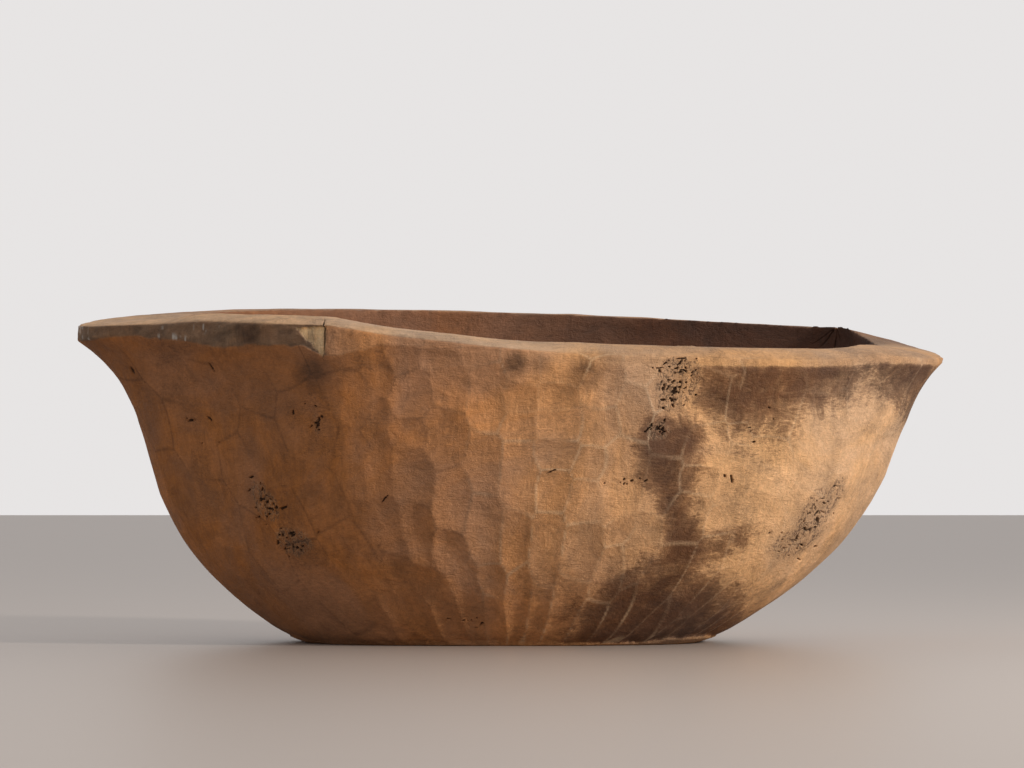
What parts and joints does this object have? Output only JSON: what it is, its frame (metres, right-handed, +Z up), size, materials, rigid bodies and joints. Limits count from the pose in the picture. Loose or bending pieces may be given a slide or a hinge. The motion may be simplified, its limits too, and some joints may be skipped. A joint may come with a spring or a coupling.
{
  "type": "carved wooden bowl",
  "caption": "Large trough-like bowl carved from one log, with a broad lug at each end of its sloping rim and a wedge in a rim crack.",
  "frame": {"origin": "middle of the footprint, on the flat base the bowl stands on", "axes": "+X along the length towards the right-hand, lower lug; +Y to the far side, where the rim is highest; +Z up"},
  "size_m": [0.8688, 0.4678, 0.3457],
  "materials": {
    "carved_wood": "dry, adzed and weathered",
    "wedge_wood": "dry, dark"
  },
  "bodies": {
    "root": {"bowl_body": "carved_wood", "rim_check_wedge": "wedge_wood"}
  },
  "joints": []
}
